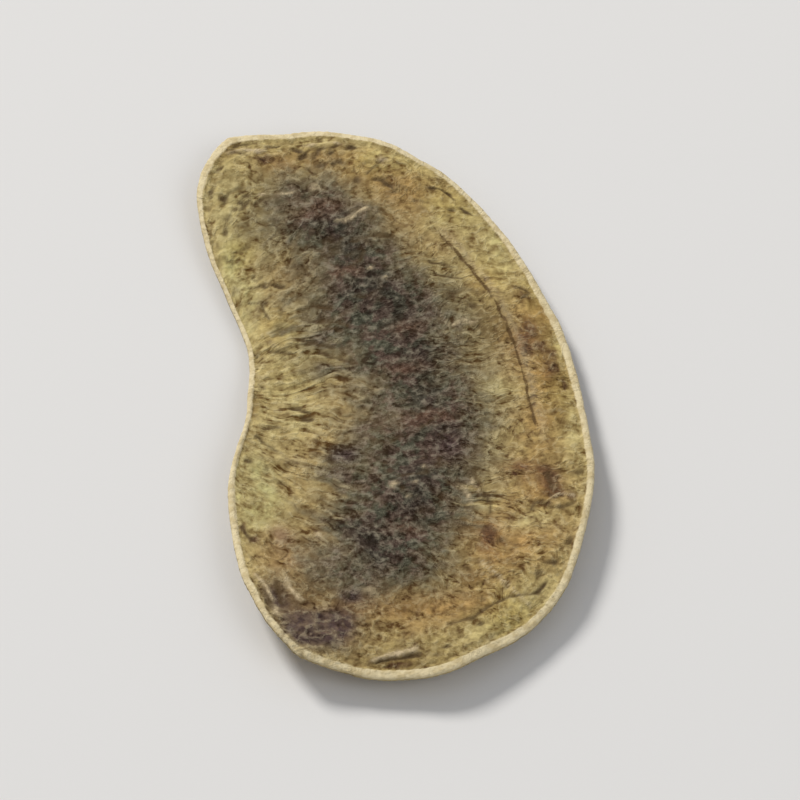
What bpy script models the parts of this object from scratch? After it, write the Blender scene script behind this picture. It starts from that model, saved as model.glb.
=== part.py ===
"""A dried senna pod lying on its seeded belly: a flat, kidney-shaped, papery fruit that grew as one piece.

Units are metres and +Z is up. The pod's length runs along Y with its flower end at +Y, the hollow side of the kidney
faces -X and the full side +X. The origin is the middle of the pod's box, on the surface that it lies on.
"""

import math

import bmesh
import bpy
import numpy as np

MM = 0.001

# Driving dimensions.
LENGTH = 42 * MM
WIDTH = 21.6 * MM
MARGIN_THICKNESS = 0.6 * MM  # the two valves where they lie flat on each other
HALF_LENGTH = LENGTH / 2
HALF_WIDTH = WIDTH / 2

# The outline, clockwise from the blunt corner at the flower end, at even steps along the rim. Each point is a share of
# the half width and of the half length.
OUTLINE = [
    (-0.82, 0.98), (-0.42, 1.00), (-0.02, 0.95), (0.31, 0.84), (0.56, 0.67), (0.75, 0.47),
    (0.89, 0.27), (0.96, 0.06), (1.00, -0.16), (0.98, -0.39), (0.86, -0.60), (0.68, -0.79),
    (0.35, -0.93), (-0.03, -1.00), (-0.43, -0.97), (-0.76, -0.87), (-0.92, -0.68), (-0.98, -0.46),
    (-0.96, -0.25), (-0.85, -0.03), (-0.80, 0.21), (-0.89, 0.42), (-0.99, 0.62), (-1.00, 0.82),
]
END_TURN = 1.3 / 24  # the middle of the flower end, as a share of a turn along that list
EVEN_STEPS = 0.17  # keeps the mesh's rows straight across the pod although the rim's steps are even
BEAK_TURN, BEAK_LENGTH, BEAK_WIDTH = 0.0, 0.12 * MM, 0.8 * MM  # what is left of the flower's style
STALK_TURN, STALK_LENGTH, STALK_WIDTH = 14.8 / 24, 0.12 * MM, 0.9 * MM  # the scar of the stalk
RIM_WAVES = ((0.05 * MM, 9, 0.7), (0.04 * MM, 17, 2.1))  # the rim's waver in plan: height, count, phase
RIM_LENGTH = 107.6 * MM

# The seeds lie across the pod, in a row along a bowed middle line.
BOW_X, BOW_Y, BOW = 1.2 * MM, 0.5 * MM, 21.0  # the line's furthest point and its curvature, in 1/m
SEED_Y = [13.6 * MM, 8.5 * MM, 3.3 * MM, -1.9 * MM, -7.0 * MM, -12.0 * MM]
SEED_ACROSS, SEED_ALONG, SEED_RISE = 2.9 * MM, 1.9 * MM, 0.25 * MM
BELLY_ACROSS, BELLY_ALONG, BELLY_RISE = 5.6 * MM, 17.5 * MM, 0.36 * MM

# The rim's bead and the transverse ribs, which stand square to the rim and fan out round both ends.
BEAD_RISE, BEAD_WIDTH, RIM_ROUND = 0.05 * MM, 0.45 * MM, 0.22 * MM
FOCUS = math.sqrt(HALF_LENGTH**2 - HALF_WIDTH**2)
RIB_COUNT, RIB_RISE = 18, 0.07 * MM

# The dried sheet's warp: how far sides, ends and opposite corners lift off the surface.
SIDE_LIFT, END_LIFT, TWIST_LIFT = 0.85 * MM, 1.0 * MM, 0.55 * MM
LOWEST_X = -1.5 * MM  # the lift starts here, so that the pod's weight is over the seeds that it lies on
LIFT_WAVES = ((0.28 * MM, 3, 1.1), (0.16 * MM, 7, 0.4))

# The crease inside the full side, where the margin bends down: its furthest point, its curvature in 1/m, how far the
# margin drops and over what width.
CREASE_X, CREASE_Y, CREASE_BOW = 7.7 * MM, -3.3 * MM, 19.3
CREASE_DROP, CREASE_WIDTH = 0.3 * MM, 3.0 * MM

FLAT_DEPTH = 0.16 * MM  # how much of the lowest seeds' bulge is pressed flat

# The mesh: cells across and along, and how much closer the rings lie near the rim.
CELLS_ACROSS, CELLS_ALONG, CLOSER_RINGS = 30, 72, 0.22


def clear_scene():
    for obj in list(bpy.data.objects):
        bpy.data.objects.remove(obj)


def smooth_step(share):
    share = np.clip(share, 0, 1)
    return share * share * (3 - 2 * share)


def closed_curve(points, turn):
    """Points on a smooth closed curve through points. turn is 0 at the first, and 1 back at the first."""
    points = np.array(points)
    place = (turn % 1) * len(points)
    first = np.floor(place).astype(int)
    t = (place - first)[:, None]
    before, here, there, after = (points[(first + step) % len(points)] for step in (-1, 0, 1, 2))
    bend = 2 * before - 5 * here + 4 * there - after
    return here + 0.5 * t * (there - before + t * (bend + t * (3 * (here - there) + after - before)))


def nib(turn, where, length, width):
    """How far a small point stands out of the rim at a turn along it."""
    off = (turn - where + 0.5) % 1 - 0.5
    return length * np.exp(-((off * RIM_LENGTH / width) ** 2))


def lay_out(across, along):
    """The plan of the pod: x, y, the share of the way out to the rim and the distance in from it, for points of a
    square from -1 to 1."""
    disc_x = across * np.sqrt(1 - along**2 / 2)
    disc_y = along * np.sqrt(1 - across**2 / 2)
    angle = np.arctan2(disc_x, disc_y)
    radius = np.hypot(disc_x, disc_y)
    reach = radius * (1 + CLOSER_RINGS * (1 - radius**2))
    turn = (angle - EVEN_STEPS * np.sin(2 * angle)) / math.tau + END_TURN
    rim = closed_curve(OUTLINE, turn) * (HALF_WIDTH, HALF_LENGTH)
    out = nib(turn, BEAK_TURN, BEAK_LENGTH, BEAK_WIDTH) + nib(turn, STALK_TURN, STALK_LENGTH, STALK_WIDTH)
    for height, count, phase in RIM_WAVES:
        out = out + height * np.sin(count * angle + phase)
    from_middle = np.linalg.norm(rim, axis=1)
    rim = rim * (1 + out / from_middle * reach**8)[:, None]
    square_on = HALF_WIDTH * HALF_LENGTH / np.hypot(HALF_LENGTH * np.sin(angle), HALF_WIDTH * np.cos(angle))
    return rim[:, 0] * reach, rim[:, 1] * reach, reach, (1 - reach) * square_on


def middle_line(y):
    return BOW_X - BOW * (y - BOW_Y) ** 2


def fan(x, y):
    """The angle that runs from 0 at the flower end to pi at the stalk end. Its lines cross the pod square to the
    rim, like its ribs."""
    return np.abs(np.arccosh((y + 1j * (x - middle_line(y))) / FOCUS).imag)


def half_thickness(x, y, reach, inset):
    aside = x - middle_line(y)
    belly = smooth_step(1.25 - np.hypot(aside / BELLY_ACROSS, y / BELLY_ALONG))
    rise = BELLY_RISE * belly + BEAD_RISE * np.exp(-((inset / BEAD_WIDTH) ** 2))
    for seed_y in SEED_Y:
        rise = rise + SEED_RISE * np.exp(-((aside / SEED_ACROSS) ** 4) - np.abs((y - seed_y) / SEED_ALONG) ** 3)
    side = np.sign(x)
    rib = 0.5 + 0.5 * np.cos(2 * RIB_COUNT * fan(x, y) + side + 1.3 * np.sin(260 * x + 90 * y))
    shown = smooth_step((reach - 0.25) / 0.3) * smooth_step(inset / (1.2 * MM))
    return MARGIN_THICKNESS / 2 + rise + RIB_RISE * rib * shown


def lift(x, y, reach):
    """The height of the middle of the dried sheet."""
    across, along = (x - LOWEST_X) / HALF_WIDTH, y / HALF_LENGTH
    height = SIDE_LIFT * across**2 + END_LIFT * along**2 + TWIST_LIFT * across * along
    angle = np.arctan2(across, along)
    for size, count, phase in LIFT_WAVES:
        height = height + size * reach**4 * np.sin(count * angle + phase)
    crease = CREASE_X - CREASE_BOW * (y - CREASE_Y) ** 2
    return height - CREASE_DROP * smooth_step((x - crease) / CREASE_WIDTH)


def flat_slab():
    """A square slab from -1 to 1 of even cells on both faces, with one row of points round the middle of its edge."""
    slab = bmesh.new()
    bmesh.ops.create_grid(slab, x_segments=CELLS_ACROSS, y_segments=CELLS_ALONG, size=1)
    for vert in slab.verts:
        vert.co.z = -1
    raised = bmesh.ops.extrude_face_region(slab, geom=slab.faces[:])["geom"]
    for item in raised:
        if isinstance(item, bmesh.types.BMVert):
            item.co.z = 1
    walls = [edge for edge in slab.edges if edge.verts[0].co.z != edge.verts[1].co.z]
    bmesh.ops.subdivide_edges(slab, edges=walls, cuts=1)
    bmesh.ops.recalc_face_normals(slab, faces=slab.faces[:])
    return slab


def pod_points(square):
    """The pod's surface for the slab's points."""
    level = square[:, 2]
    x, y, reach, inset = lay_out(square[:, 0], square[:, 1])
    half = half_thickness(x, y, reach, inset)
    height = lift(x, y, reach)
    foot = (height - half).min() + FLAT_DEPTH
    z = np.maximum(height + level * half - foot, 0)
    drawn_in = 1 - np.abs(level) * RIM_ROUND / HALF_WIDTH * smooth_step((reach - 0.9) / 0.1)
    pod = np.stack([x * drawn_in, y * drawn_in, z], axis=1)
    pod[:, :2] -= (pod[:, :2].min(axis=0) + pod[:, :2].max(axis=0)) / 2
    return pod


def pod_material():
    material = bpy.data.materials.new("dried_pod")
    material.use_nodes = True
    shader = material.node_tree.nodes["Principled BSDF"]
    shader.inputs["Base Color"].default_value = (0.26, 0.19, 0.085, 1)
    shader.inputs["Roughness"].default_value = 0.72
    shader.inputs["Metallic"].default_value = 0
    return material


def build_pod(collection):
    slab = flat_slab()
    square = np.array([vert.co for vert in slab.verts])
    for vert, place in zip(slab.verts, pod_points(square)):
        vert.co = place
    mesh = bpy.data.meshes.new("pod")
    slab.to_mesh(mesh)
    slab.free()
    mesh.shade_smooth()
    mesh.materials.append(pod_material())
    pod = bpy.data.objects.new("pod", mesh)
    collection.objects.link(pod)
    return pod


def main():
    clear_scene()
    collection = bpy.data.collections.new("senna_pod")
    bpy.context.scene.collection.children.link(collection)
    build_pod(collection)


main()
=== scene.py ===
"""A dried senna pod, finished: the solid's form with its fine relief, its markings, and the light on it."""

import math

import bpy
import numpy as np
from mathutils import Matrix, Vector


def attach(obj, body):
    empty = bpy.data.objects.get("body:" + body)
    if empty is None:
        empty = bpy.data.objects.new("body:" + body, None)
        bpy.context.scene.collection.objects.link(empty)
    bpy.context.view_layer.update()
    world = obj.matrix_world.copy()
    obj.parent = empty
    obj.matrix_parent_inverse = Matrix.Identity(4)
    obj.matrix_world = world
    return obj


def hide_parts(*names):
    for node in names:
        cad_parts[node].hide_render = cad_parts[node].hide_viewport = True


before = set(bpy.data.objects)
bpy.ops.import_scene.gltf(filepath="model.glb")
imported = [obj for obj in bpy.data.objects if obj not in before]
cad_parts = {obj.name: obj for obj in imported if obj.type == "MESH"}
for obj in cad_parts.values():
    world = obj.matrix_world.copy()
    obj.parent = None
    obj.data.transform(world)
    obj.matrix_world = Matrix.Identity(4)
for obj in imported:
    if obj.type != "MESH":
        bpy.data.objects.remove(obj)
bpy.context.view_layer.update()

MM = 0.001

# The solid's form, as in the part's source, with every length in millimetres.
HALF_LENGTH, HALF_WIDTH = 21.0, 10.8
OUTLINE = [
    (-0.82, 0.98), (-0.42, 1.00), (-0.02, 0.95), (0.31, 0.84), (0.56, 0.67), (0.75, 0.47),
    (0.89, 0.27), (0.96, 0.06), (1.00, -0.16), (0.98, -0.39), (0.86, -0.60), (0.68, -0.79),
    (0.35, -0.93), (-0.03, -1.00), (-0.43, -0.97), (-0.76, -0.87), (-0.92, -0.68), (-0.98, -0.46),
    (-0.96, -0.25), (-0.85, -0.03), (-0.80, 0.21), (-0.89, 0.42), (-0.99, 0.62), (-1.00, 0.82),
]
END_TURN, EVEN_STEPS, RIM_LENGTH = 1.3 / 24, 0.17, 107.6
BEAK_TURN, BEAK_LENGTH, BEAK_WIDTH = 0.0, 0.12, 0.8
STALK_TURN, STALK_LENGTH, STALK_WIDTH = 14.8 / 24, 0.12, 0.9
RIM_WAVES = ((0.05, 9, 0.7), (0.04, 17, 2.1))  # height, count and phase
MARGIN_THICKNESS = 0.6
BOW_X, BOW_Y, BOW = 1.2, 0.5, 0.021
SEED_Y = [13.6, 8.5, 3.3, -1.9, -7.0, -12.0]
SEED_ACROSS, SEED_ALONG, SEED_RISE = 2.9, 1.9, 0.25
BELLY_ACROSS, BELLY_ALONG, BELLY_RISE = 5.6, 17.5, 0.36
BEAD_RISE, BEAD_WIDTH, RIM_ROUND = 0.05, 0.45, 0.22
FOCUS = math.sqrt(HALF_LENGTH**2 - HALF_WIDTH**2)
RIB_COUNT, RIB_RISE = 18, 0.07
SIDE_LIFT, END_LIFT, TWIST_LIFT, LOWEST_X = 0.85, 1.0, 0.55, -1.5
LIFT_WAVES = ((0.28, 3, 1.1), (0.16, 7, 0.4))  # height, count and phase
CREASE_X, CREASE_Y, CREASE_BOW, CREASE_DROP, CREASE_WIDTH = 7.7, -3.3, 0.0193, 0.3, 3.0
FLAT_DEPTH = 0.16
CLOSER_RINGS = 0.22

# The fine mesh: cells across and along, and the levels of the rows round the rim.
CELLS_ACROSS, CELLS_ALONG = 146, 306
RIM_LEVELS = (0.97, 0.88, 0.7, 0.42, 0.14, -0.14, -0.42, -0.7, -0.88, -0.97)

# The rim's fine form. It is thinner than a solid one can be, and chipped, with a step beside the stalk's
# scar and a groove all round between the two valves.
RIM_THINNING, THINNING_WIDTH = 0.19, 1.0
RIM_CHIPS = ((0.04, 62, 11), (0.02, 170, 12))  # height, count and seed
STEP_HEIGHT, STEP_SHARPNESS, STEP_REACH = 0.08, 0.25, 3
GROOVE_DEPTH, GROOVE_WIDTH = 0.035, 0.2  # the width is a share of the half thickness
EDGE_GRAIN_DEPTH, EDGE_GRAIN_COUNT = 0.02, 420
WAVE_FADE, CHIP_FADE = 8, 30  # how fast the rim's waves and its chips die away inwards

# The rim's pale cord: its width at the ends, how much wider it is along the sides and at the stalk end, and
# its relief.
CORD_WIDTH, SIDE_CORD_WIDER, STALK_CORD_WIDER = 0.05, 0.11, 0.08
CORD_WAVES = ((0.06, 9, 20, 81), (0.04, 34, 50, 82))  # change of width, count, start and seed
CORD_PLACES = ((1.3, 0.55, 0.16), (-1.95, 0.3, 0.1), (-2.42, 0.22, -0.12))  # angle, spread and change
CORD_RISE, CORD_MIDDLE, CORD_ROUND = 0.05, 0.1, 0.14
HOLLOW_DEPTH, HOLLOW_MIDDLE, HOLLOW_WIDTH = 0.02, 0.42, 0.2  # the hollow inside the cord
# The rim's lower half is painted darker, as shade on its downward side, and keeps only this share of the
# cord's cream.
SHADED_WALL_CREAM = 0.15  # how much of the cord's colour is left on the rim's lower half

# The fibres of the skin fan out from a point beyond the hollow side. NEAR_REACH is the fan's radius at that
# side, and FAR_SPREAD how many times more fibres there are at the full side.
FAN_X, FAN_Y = -17.0, 0.5
NEAR_REACH, FAR_SPREAD = 9.0, 2.3

# The skin's relief: how high or deep each sort is, and its sizes.
VEIN_RISE, FIBRE_RISE, PLEAT_RISE, NET_RISE, PEBBLE_RISE, SWELL_RISE = 0.06, 0.045, 0.07, 0.035, 0.03, 0.12
VEIN_SIZES, FIBRE_SIZES, PLEAT_SIZES = (1.5, 5.0), (0.6, 2.2), (0.9, 5.0)  # spacing and length
NET_SIZE, PEBBLE_SIZE, SWELL_SIZE = 0.8, 0.5, 5.5
PIT_DEPTH, CRACK_DEPTH, LINE_DEPTH = 0.06, 0.08, 0.05
SCAR_RISE, LIP_RISE, SLIT_DEPTH = 0.08, 0.1, 0.07
CREASE_DEPTH, CREASE_LINE = 0.05, 0.24  # the crease's groove
RIDGE_RISE, RIDGE_ASIDE = 0.05, 0.34  # the ridge beside it
PIT_ACROSS, PIT_ALONG, PIT_SHARE = (0.12, 0.3), (0.1, 0.2), (0.3, 1.0)  # the scattered pits' least and most
PIT_REACH, PIT_FADE = 3.5, 2  # how far in from the rim they lie
CRACK_SPACING, CRACK_LENGTH, CRACK_SHARPNESS, CREST_SHARPNESS = 1.1, 2.6, 3.6, 2.2
CALM_SHARE = 0.55  # how much of the relief is missing where the skin is smooth
UPPER_SEED, UNDER_SEED = 100, 500

# How dark or pale the marks are.
# The slit under the lip is darkened both as the tear's own gap and as painted shadow under the lip.
SMALL_PIT_DARK, CRACK_DARK, CREASE_DARK, PIT_DARK, LINE_DARK, SLIT_SHADOW_DARK = 0.8, 0.65, 0.12, 0.85, 0.9, 1.1
# The ridge beside the crease is painted pale, a painted highlight on its lit side.
SCAR_PALE, LIP_PALE, RIDGE_HIGHLIGHT = 1.1, 1.5, 0.3

# The dark band over the seeds: its left and right edges as (y, x), its ends, and how soft they are.
BAND_LEFT = [
    (-14.5, -5.8), (-11.0, -5.2), (-8.0, -4.5), (-4.6, -3.4), (-1.5, -1.8), (1.5, -2.4), (4.5, -4.3),
    (8.0, -5.0), (11.5, -4.9), (14.0, -6.9), (17.0, -6.1),
]
BAND_RIGHT = [
    (-14.5, 1.2), (-11.5, 1.7), (-8.0, 3.2), (-4.0, 4.1), (-1.5, 4.8), (1.0, 3.9), (3.0, 3.6), (6.0, 3.2),
    (8.0, 2.8), (10.0, 1.2), (12.5, -0.1), (14.5, -0.9), (17.0, -3.0),
]
BAND_TOP, BAND_BOTTOM = 17.2, -14.2
LEFT_SOFTNESS, RIGHT_SOFTNESS, END_SOFTNESS, CORNER_SHARPNESS = 2.8, 2.2, 1.6, 3
DARK_SEED = [(-3.8, -3.9, 1.2, 0.9)]  # one seed that shows dark beside the band

# Soft patches of the upper face's colours and smoothness, each as its middle and its sizes across and along.
PATCHES = {
    # the band's darkest spots, over the seeds
    "core": [
        (-3.4, 14.0, 2.0, 1.2), (-2.2, 11.8, 1.3, 1.1), (-0.8, 8.6, 1.7, 1.5), (0.8, 5.6, 1.5, 1.4),
        (1.5, 2.6, 1.4, 1.0), (1.6, -0.2, 1.2, 1.3), (2.4, -3.4, 1.2, 1.6), (0.5, -6.2, 1.2, 1.4),
        (0.2, -8.4, 1.0, 0.9), (-3.0, -10.2, 1.6, 1.2), (-2.6, -12.2, 1.3, 1.2), (-3.7, -3.8, 0.9, 1.0),
    ],
    # rust stains
    "rust": [
        (7.7, 3.4, 0.8, 1.4), (8.9, 1.6, 0.5, 1.6), (8.1, -7.0, 0.7, 1.2), (6.4, -6.2, 0.8, 0.7),
        (4.2, -10.8, 0.7, 1.2), (7.9, 7.3, 0.55, 0.6), (8.0, 4.6, 0.5, 0.8),
    ],
    # warm brown ground
    "tan": [
        (-5.2, 18.6, 2.6, 1.1), (-0.5, 18.2, 2.6, 1.4), (5.6, 8.4, 1.2, 1.4), (8.6, 0.0, 2.6, 7.5),
        (5.5, -11.0, 4.6, 4.2), (0.8, -15.9, 3.4, 1.5), (-8.2, -11.2, 1.8, 2.2), (1.5, 15.8, 2.2, 1.6),
        (8.2, 6.0, 1.2, 3.0), (-7.2, 6.0, 1.4, 0.9),
    ],
    # pale yellow ground; on the left margin it is also painted light, making that side brighter than the
    # right
    "straw": [
        (9.6, 3.4, 0.6, 1.2), (-9.0, 8.0, 0.6, 0.8), (3.6, -18.0, 1.3, 0.8), (0.4, 18.0, 1.3, 0.8),
        (-9.2, -6.8, 2.2, 3.4), (-8.6, 7.5, 1.6, 4.0), (-9.2, 15.0, 1.6, 3.4), (-6.6, -1.0, 2.2, 2.4),
        (6.6, -16.2, 1.8, 2.0), (6.6, 10.2, 1.8, 3.2), (8.4, 7.8, 0.8, 1.0), (-1.0, 20.2, 2.6, 0.9),
        (9.8, -3.0, 0.8, 3.0), (3.8, 13.8, 1.5, 1.6), (0.6, 18.2, 1.6, 0.9), (-9.8, -7.5, 1.2, 2.4),
        (4.3, -8.4, 0.9, 0.8), (6.8, -9.9, 1.5, 0.8), (5.6, 0.0, 1.5, 0.8), (-6.2, 5.9, 0.9, 0.8),
    ],
    # stains of deep purple brown, as dark as the band
    "violet": [
        (-4.0, -14.9, 0.7, 0.5), (-3.6, -4.0, 0.8, 0.6), (-7.4, -17.5, 1.4, 1.9), (-5.6, -17.8, 1.7, 1.5),
        (-8.5, -14.9, 0.9, 1.3), (-5.0, -16.7, 1.2, 1.0), (2.6, -4.0, 1.0, 1.2),
    ],
    # reddish brown streaks in the band
    "plum": [
        (-6.6, 16.6, 0.9, 1.4), (-4.8, 14.3, 1.3, 0.6), (-3.0, 14.8, 1.6, 0.7), (-2.6, 9.8, 1.2, 0.6),
        (0.3, 2.1, 1.6, 0.6), (-0.4, -2.0, 1.8, 0.6), (-0.6, -10.0, 1.3, 0.6), (2.8, -4.2, 1.5, 1.0),
        (2.0, -1.8, 1.4, 0.6), (0.8, 5.2, 1.2, 0.6),
    ],
    # green left in the ground; on the left margin it is also painted light, making that side brighter
    "green": [
        (-9.2, -7.2, 1.5, 2.4), (-9.2, 10.9, 0.7, 1.5), (-8.6, 8.3, 0.6, 1.2), (7.0, 12.0, 0.8, 1.6),
        (-9.4, -5.4, 1.0, 1.6),
    ],
    # small brown spots
    "brown": [
        (8.0, 4.4, 0.3, 0.4), (8.5, 3.2, 0.34, 0.42), (9.1, 2.6, 0.3, 0.4), (9.1, 1.4, 0.3, 0.5),
        (9.6, 0.3, 0.25, 0.45), (7.6, 3.1, 0.35, 0.4), (7.4, 7.7, 0.12, 0.2), (8.2, 6.9, 0.14, 0.2),
        (7.8, -6.2, 0.45, 0.3), (8.3, -6.9, 0.5, 0.5), (8.4, -8.0, 0.6, 0.5), (9.3, -8.5, 0.35, 0.35),
        (-10.0, -9.6, 0.25, 0.35), (-9.3, -10.5, 0.4, 0.4), (4.3, -10.6, 0.35, 0.6),
        (-6.7, 18.9, 0.5, 0.4), (-1.8, -20.3, 1.0, 0.22),
    ],
    # places that are a little darker
    "shade": [
        (3.0, -10.0, 0.6, 0.7), (8.0, -8.2, 0.5, 0.6), (9.2, -2.2, 0.5, 0.8), (-5.2, -18.2, 1.0, 0.7),
        (2.3, 14.0, 0.7, 0.7), (-5.0, 16.0, 1.2, 0.5), (-2.4, -14.2, 1.2, 0.9), (6.0, 4.2, 0.8, 1.2),
        (9.0, 6.0, 0.4, 0.7), (-9.0, -0.2, 0.6, 0.8), (-9.2, 20.2, 0.6, 0.5), (-6.9, -2.1, 0.6, 0.6),
        (-6.0, -13.8, 1.1, 0.9), (-4.2, -16.2, 1.0, 0.9), (-7.4, -15.4, 1.4, 1.4),
        (-1.2, -19.9, 3.4, 1.2), (-9.0, 20.0, 1.0, 0.7), (-1.0, -15.8, 1.0, 0.8), (-8.8, 0.0, 0.5, 0.6),
        (-5.0, 10.1, 1.6, 0.7), (3.2, -6.2, 1.0, 0.9), (5.4, 5.6, 1.0, 1.6), (3.0, -14.0, 1.0, 0.8),
    ],
    # greyer ground beside the band
    "ash": [
        (5.6, 2.0, 1.7, 5.0), (4.4, 7.5, 1.5, 2.8), (4.6, -5.5, 1.4, 2.2), (-4.6, 6.0, 1.8, 3.0),
    ],
    # ground with a reddish cast
    "mauve": [
        (-6.4, -12.2, 2.2, 1.5), (-7.8, -10.2, 1.0, 1.2), (-3.6, -15.0, 1.4, 1.0),
    ],
    # smooth places
    "calm": [
        (6.2, 10.8, 1.8, 3.4), (8.8, 5.5, 1.2, 3.0), (9.2, -3.2, 1.1, 2.5), (-8.2, -8.0, 1.8, 1.8),
        (4.2, 14.2, 1.6, 1.2),
    ],
    # ground that is a little yellower
    "gold": [
        (-0.8, 17.8, 2.8, 1.3), (4.0, 14.6, 1.6, 1.8), (5.6, 8.6, 1.4, 1.8), (8.4, 7.0, 0.9, 2.0),
        (9.0, 1.2, 0.9, 3.6), (-6.4, 6.3, 1.4, 1.2), (-8.6, 11.8, 1.0, 1.2), (5.0, -17.0, 1.6, 1.6),
        (-6.4, -12.2, 1.6, 0.9),
    ],
}

# Where the skin's relief differs, as patches too: fibres that stand up in folds, grain that is drawn out the
# most, and short cracks along the fibres.
PLEATS = [
    (-7.2, -4.4, 2.4, 1.8), (-6.5, 5.0, 3.0, 4.5),
]
STREAKED = [
    (-5.5, 1.5, 4.5, 8.0), (4.5, -8.5, 1.6, 2.4), (-5.0, -7.5, 2.4, 3.0),
]
CRACKED = [
    (-5.5, -4.5, 3.0, 2.5), (-5.5, 9.0, 3.5, 2.5), (4.6, 6.5, 1.6, 2.5), (-3.5, 19.0, 2.5, 1.4),
    (1.6, 15.4, 1.6, 1.2), (-8.8, 14.5, 1.6, 3.0), (0.0, -5.0, 4.0, 4.0), (4.0, -14.0, 4.0, 2.0),
    (-1.0, 11.0, 3.0, 3.0),
]
# Where pits are scattered: the left, right, low and high ends, and how many.
PITTED = [
    (-10.8, 10.8, -21.0, 21.0, 60), (-6.0, -0.5, 17.8, 20.6, 16), (-10.5, -8.4, 10.0, 17.5, 16),
    (2.0, 7.5, 9.0, 17.0, 8), (-9.5, -5.0, -1.0, 9.0, 8),
]

# The upper face's clearest pits and specks, as patches, and its lines, each as its points and its width.
DARK_PITS = [
    (-4.3, 18.9, 0.25, 0.22), (-4.6, 19.4, 0.22, 0.2), (-3.2, 19.4, 0.28, 0.2), (-2.4, 19.5, 0.2, 0.16),
    (-1.5, 19.4, 0.22, 0.2), (-2.3, 18.2, 0.22, 0.2), (-2.7, 18.0, 0.2, 0.2), (-3.4, 18.1, 0.24, 0.18),
    (-3.7, 18.9, 0.2, 0.24), (-9.5, 18.6, 0.26, 0.2), (-10.1, 16.8, 0.24, 0.16), (-9.4, 16.1, 0.2, 0.2),
    (-8.7, 15.2, 0.22, 0.18), (-8.3, 15.8, 0.22, 0.16), (-8.0, 16.2, 0.2, 0.16), (-9.4, 13.5, 0.16, 0.3),
    (-1.4, 16.7, 0.2, 0.26), (0.0, 16.6, 0.4, 0.18), (3.1, 15.8, 0.2, 0.14), (4.1, 15.6, 0.18, 0.15),
    (4.1, 14.2, 0.24, 0.14), (5.0, 14.0, 0.22, 0.16), (4.8, 6.5, 0.3, 0.22), (3.5, 7.5, 0.3, 0.24),
    (8.9, -11.8, 0.24, 0.28), (9.8, -6.7, 0.35, 0.2), (7.6, -13.3, 0.4, 0.18), (6.8, -13.9, 0.22, 0.26),
    (4.9, -11.2, 0.26, 0.2), (3.2, -17.5, 0.22, 0.2), (1.1, -19.0, 0.26, 0.2), (-6.0, -0.3, 0.4, 0.22),
    (-5.5, -1.1, 0.35, 0.2), (-9.3, -4.4, 0.3, 0.2), (-8.8, -15.7, 0.24, 0.35), (-9.2, -16.5, 0.2, 0.3),
]
PALE_SPECKS = [
    (0.3, 18.0, 0.35, 0.25), (-3.9, 20.0, 0.3, 0.2), (-7.0, 16.2, 0.2, 0.12), (-1.0, -6.8, 0.28, 0.25),
    (0.3, -6.7, 0.12, 0.13), (-0.2, -7.7, 0.12, 0.14), (0.9, -5.4, 0.13, 0.12), (-1.0, 9.9, 0.14, 0.12),
    (-0.2, 9.0, 0.12, 0.13), (-5.5, -10.1, 0.22, 0.25), (-3.0, -14.5, 0.35, 0.22), (-2.3, 19.9, 0.3, 0.2),
    (-5.6, 16.2, 0.5, 0.18), (-3.9, 16.4, 0.25, 0.3),
]
DARK_LINES = [
    ([(-8.3, 15.3), (-7.8, 15.8)], 0.14), ([(-7.4, 15.5), (-6.9, 15.9)], 0.14),
    ([(-4.1, 19.4), (-4.6, 18.7)], 0.13), ([(7.4, 7.8), (8.2, 7.4), (7.7, 6.9)], 0.1),
    ([(3.9, -6.8), (4.5, -8.1), (4.4, -9.1)], 0.12),
    ([(1.3, -17.3), (2.9, -16.9), (4.5, -15.8), (6.6, -15.3), (7.3, -14.7)], 0.13),
    ([(8.0, -6.6), (8.2, -7.6)], 0.22), ([(6.9, -9.3), (7.2, -8.6), (8.0, -9.2), (9.3, -9.1)], 0.16),
    ([(-8.2, -13.7), (-8.1, -15.4)], 0.18), ([(-0.7, 17.1), (0.7, 18.3)], 0.08),
    ([(-8.6, 20.4), (-7.6, 20.5)], 0.1), ([(-6.5, 20.1), (-5.8, 20.2)], 0.13),
    ([(-8.7, 19.9), (-8.1, 19.6)], 0.14), ([(-8.2, 9.2), (-7.4, 9.3)], 0.12),
    ([(-7.0, 9.5), (-6.4, 9.2)], 0.13), ([(-8.3, 8.2), (-7.4, 8.0)], 0.14),
    ([(-7.6, 7.8), (-7.3, 6.9)], 0.12), ([(-5.3, 7.4), (-4.5, 7.7), (-3.4, 7.4)], 0.17),
    ([(-5.2, 6.6), (-3.9, 6.4), (-2.6, 6.0)], 0.16), ([(-4.2, 5.9), (-3.1, 5.6)], 0.14),
    ([(-5.3, 4.9), (-3.8, 4.5)], 0.17), ([(-7.3, 4.4), (-6.2, 4.1)], 0.13),
    ([(-4.5, 4.1), (-3.4, 3.5), (-2.4, 3.0)], 0.16), ([(-6.5, -0.2), (-5.9, -0.5), (-5.4, -0.6)], 0.1),
    ([(-5.8, -1.0), (-5.2, -1.2)], 0.1), ([(-8.7, -2.4), (-8.0, -3.1), (-7.4, -3.6)], 0.11),
    ([(-8.2, -1.9), (-7.3, -1.7)], 0.12), ([(-8.3, 1.8), (-8.0, 1.4)], 0.13),
    ([(3.0, 16.0), (3.9, 15.7), (4.4, 15.0)], 0.1), ([(4.7, 14.3), (5.4, 13.8)], 0.1),
    ([(0.2, 16.4), (0.7, 15.9)], 0.11), ([(2.5, 10.2), (3.8, 9.6)], 0.09),
    ([(2.7, 9.1), (4.3, 8.7)], 0.1), ([(-10.0, -9.5), (-9.5, -10.4)], 0.16),
    ([(-9.1, -14.5), (-8.8, -15.4)], 0.14),
]
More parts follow.
